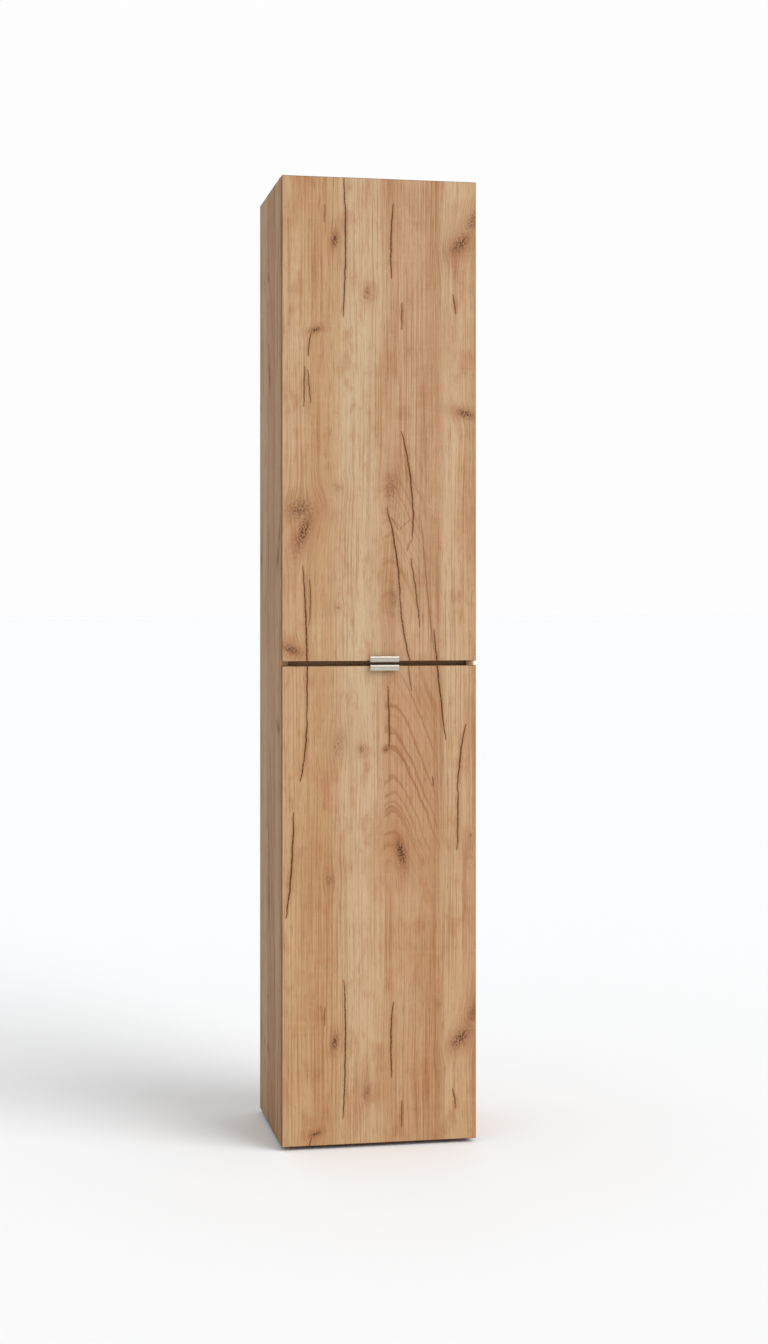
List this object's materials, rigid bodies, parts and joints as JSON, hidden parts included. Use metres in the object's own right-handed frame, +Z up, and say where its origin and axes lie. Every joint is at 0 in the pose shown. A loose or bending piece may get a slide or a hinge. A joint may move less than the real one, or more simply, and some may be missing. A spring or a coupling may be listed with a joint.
{
  "type": "pantry cabinet",
  "caption": "Tall narrow oak-look pantry cabinet with stacked upper and lower doors on concealed hinges, small metal edge pulls, inner shelves and low feet.",
  "frame": {"origin": "on the floor, under the middle of the cabinet's box", "axes": "+X to the cabinet's right seen from the front, where the hinges are; -Y out of the doors; +Z up"},
  "size_m": [0.4, 0.351, 1.982],
  "materials": {
    "oak_board": "matt oak-look coated board",
    "edge_band": "matt dark oak-look edge band",
    "back_board": "matt coated hardboard",
    "beech_dowel": "raw beech",
    "brushed_aluminium": "satin anodised",
    "hinge_steel": "nickel-plated",
    "zinc_fitting": "zinc-plated",
    "steel_screw": "zinc-plated",
    "black_plastic": "matt",
    "soft_pad": "translucent soft pad"
  },
  "bodies": {
    "carcass": {"side_panel_left": "oak_board", "side_panel_right": "oak_board", "bottom_panel": "oak_board", "middle_shelf": "oak_board", "top_panel": "oak_board", "cam_locks": "zinc_fitting", "cam_bolts": "zinc_fitting", "wooden_dowels": "beech_dowel", "back_panel_lower": "back_board", "back_panel_upper": "back_board", "back_nails": "steel_screw", "upper_shelf_low": "oak_board", "upper_shelf_high": "oak_board", "lower_shelf_low": "oak_board", "lower_shelf_high": "oak_board", "shelf_pins": "steel_screw", "foot_front_left": "black_plastic", "foot_front_right": "black_plastic", "foot_rear_left": "black_plastic", "foot_rear_right": "black_plastic", "foot_screws": "steel_screw", "wall_bracket": "zinc_fitting", "bracket_screws": "steel_screw", "upper_hinge_arms": "hinge_steel", "upper_arm_pins": "steel_screw", "upper_hinge_plates": "hinge_steel", "upper_plate_screws": "steel_screw", "lower_hinge_arms": "hinge_steel", "lower_arm_pins": "steel_screw", "lower_hinge_plates": "hinge_steel", "lower_plate_screws": "steel_screw"},
    "upper_outer_links": {"upper_outer_links": "hinge_steel"},
    "upper_door": {"upper_door_panel": "oak_board", "upper_door_edge_bands": "edge_band", "upper_pull": "brushed_aluminium", "upper_pull_screws": "steel_screw", "upper_door_pads": "soft_pad", "upper_hinge_cups": "hinge_steel", "upper_cup_pins": "steel_screw", "upper_cup_screws": "steel_screw"},
    "upper_inner_links": {"upper_inner_links": "hinge_steel"},
    "lower_outer_links": {"lower_outer_links": "hinge_steel"},
    "lower_door": {"lower_door_panel": "oak_board", "lower_door_edge_bands": "edge_band", "lower_pull": "brushed_aluminium", "lower_pull_screws": "steel_screw", "lower_door_pads": "soft_pad", "lower_hinge_cups": "hinge_steel", "lower_cup_pins": "steel_screw", "lower_cup_screws": "steel_screw"},
    "lower_inner_links": {"lower_inner_links": "hinge_steel"}
  },
  "joints": [
    {"name": "upper_link_turn", "type": "hinge", "parent": "carcass", "child": "upper_outer_links", "pos_m": [0.172, -0.1435, 1.47], "axis": [0, 0, 1], "range_deg": [-46.5, 0]},
    {"name": "upper_door_swing", "type": "hinge", "parent": "upper_outer_links", "child": "upper_door", "pos_m": [0.19, -0.1485, 1.47], "axis": [0, 0, 1], "range_deg": [0, 148]},
    {"name": "upper_inner_link_turn", "type": "hinge", "parent": "upper_door", "child": "upper_inner_links", "pos_m": [0.1865, -0.1548, 1.47], "axis": [0, 0, 1], "range_deg": [-111, 0]},
    {"name": "lower_link_turn", "type": "hinge", "parent": "carcass", "child": "lower_outer_links", "pos_m": [0.172, -0.1435, 0.4905], "axis": [0, 0, 1], "range_deg": [-46.5, 0]},
    {"name": "lower_door_swing", "type": "hinge", "parent": "lower_outer_links", "child": "lower_door", "pos_m": [0.19, -0.1485, 0.4905], "axis": [0, 0, 1], "range_deg": [0, 148]},
    {"name": "lower_inner_link_turn", "type": "hinge", "parent": "lower_door", "child": "lower_inner_links", "pos_m": [0.1865, -0.1548, 0.4905], "axis": [0, 0, 1], "range_deg": [-111, 0]}
  ],
  "couplings": [
    {"joint": "upper_link_turn", "follows": "upper_door_swing", "ratio": -0.30982},
    {"joint": "upper_inner_link_turn", "follows": "upper_door_swing", "ratio": -0.744},
    {"joint": "lower_link_turn", "follows": "lower_door_swing", "ratio": -0.30982},
    {"joint": "lower_inner_link_turn", "follows": "lower_door_swing", "ratio": -0.744}
  ]
}
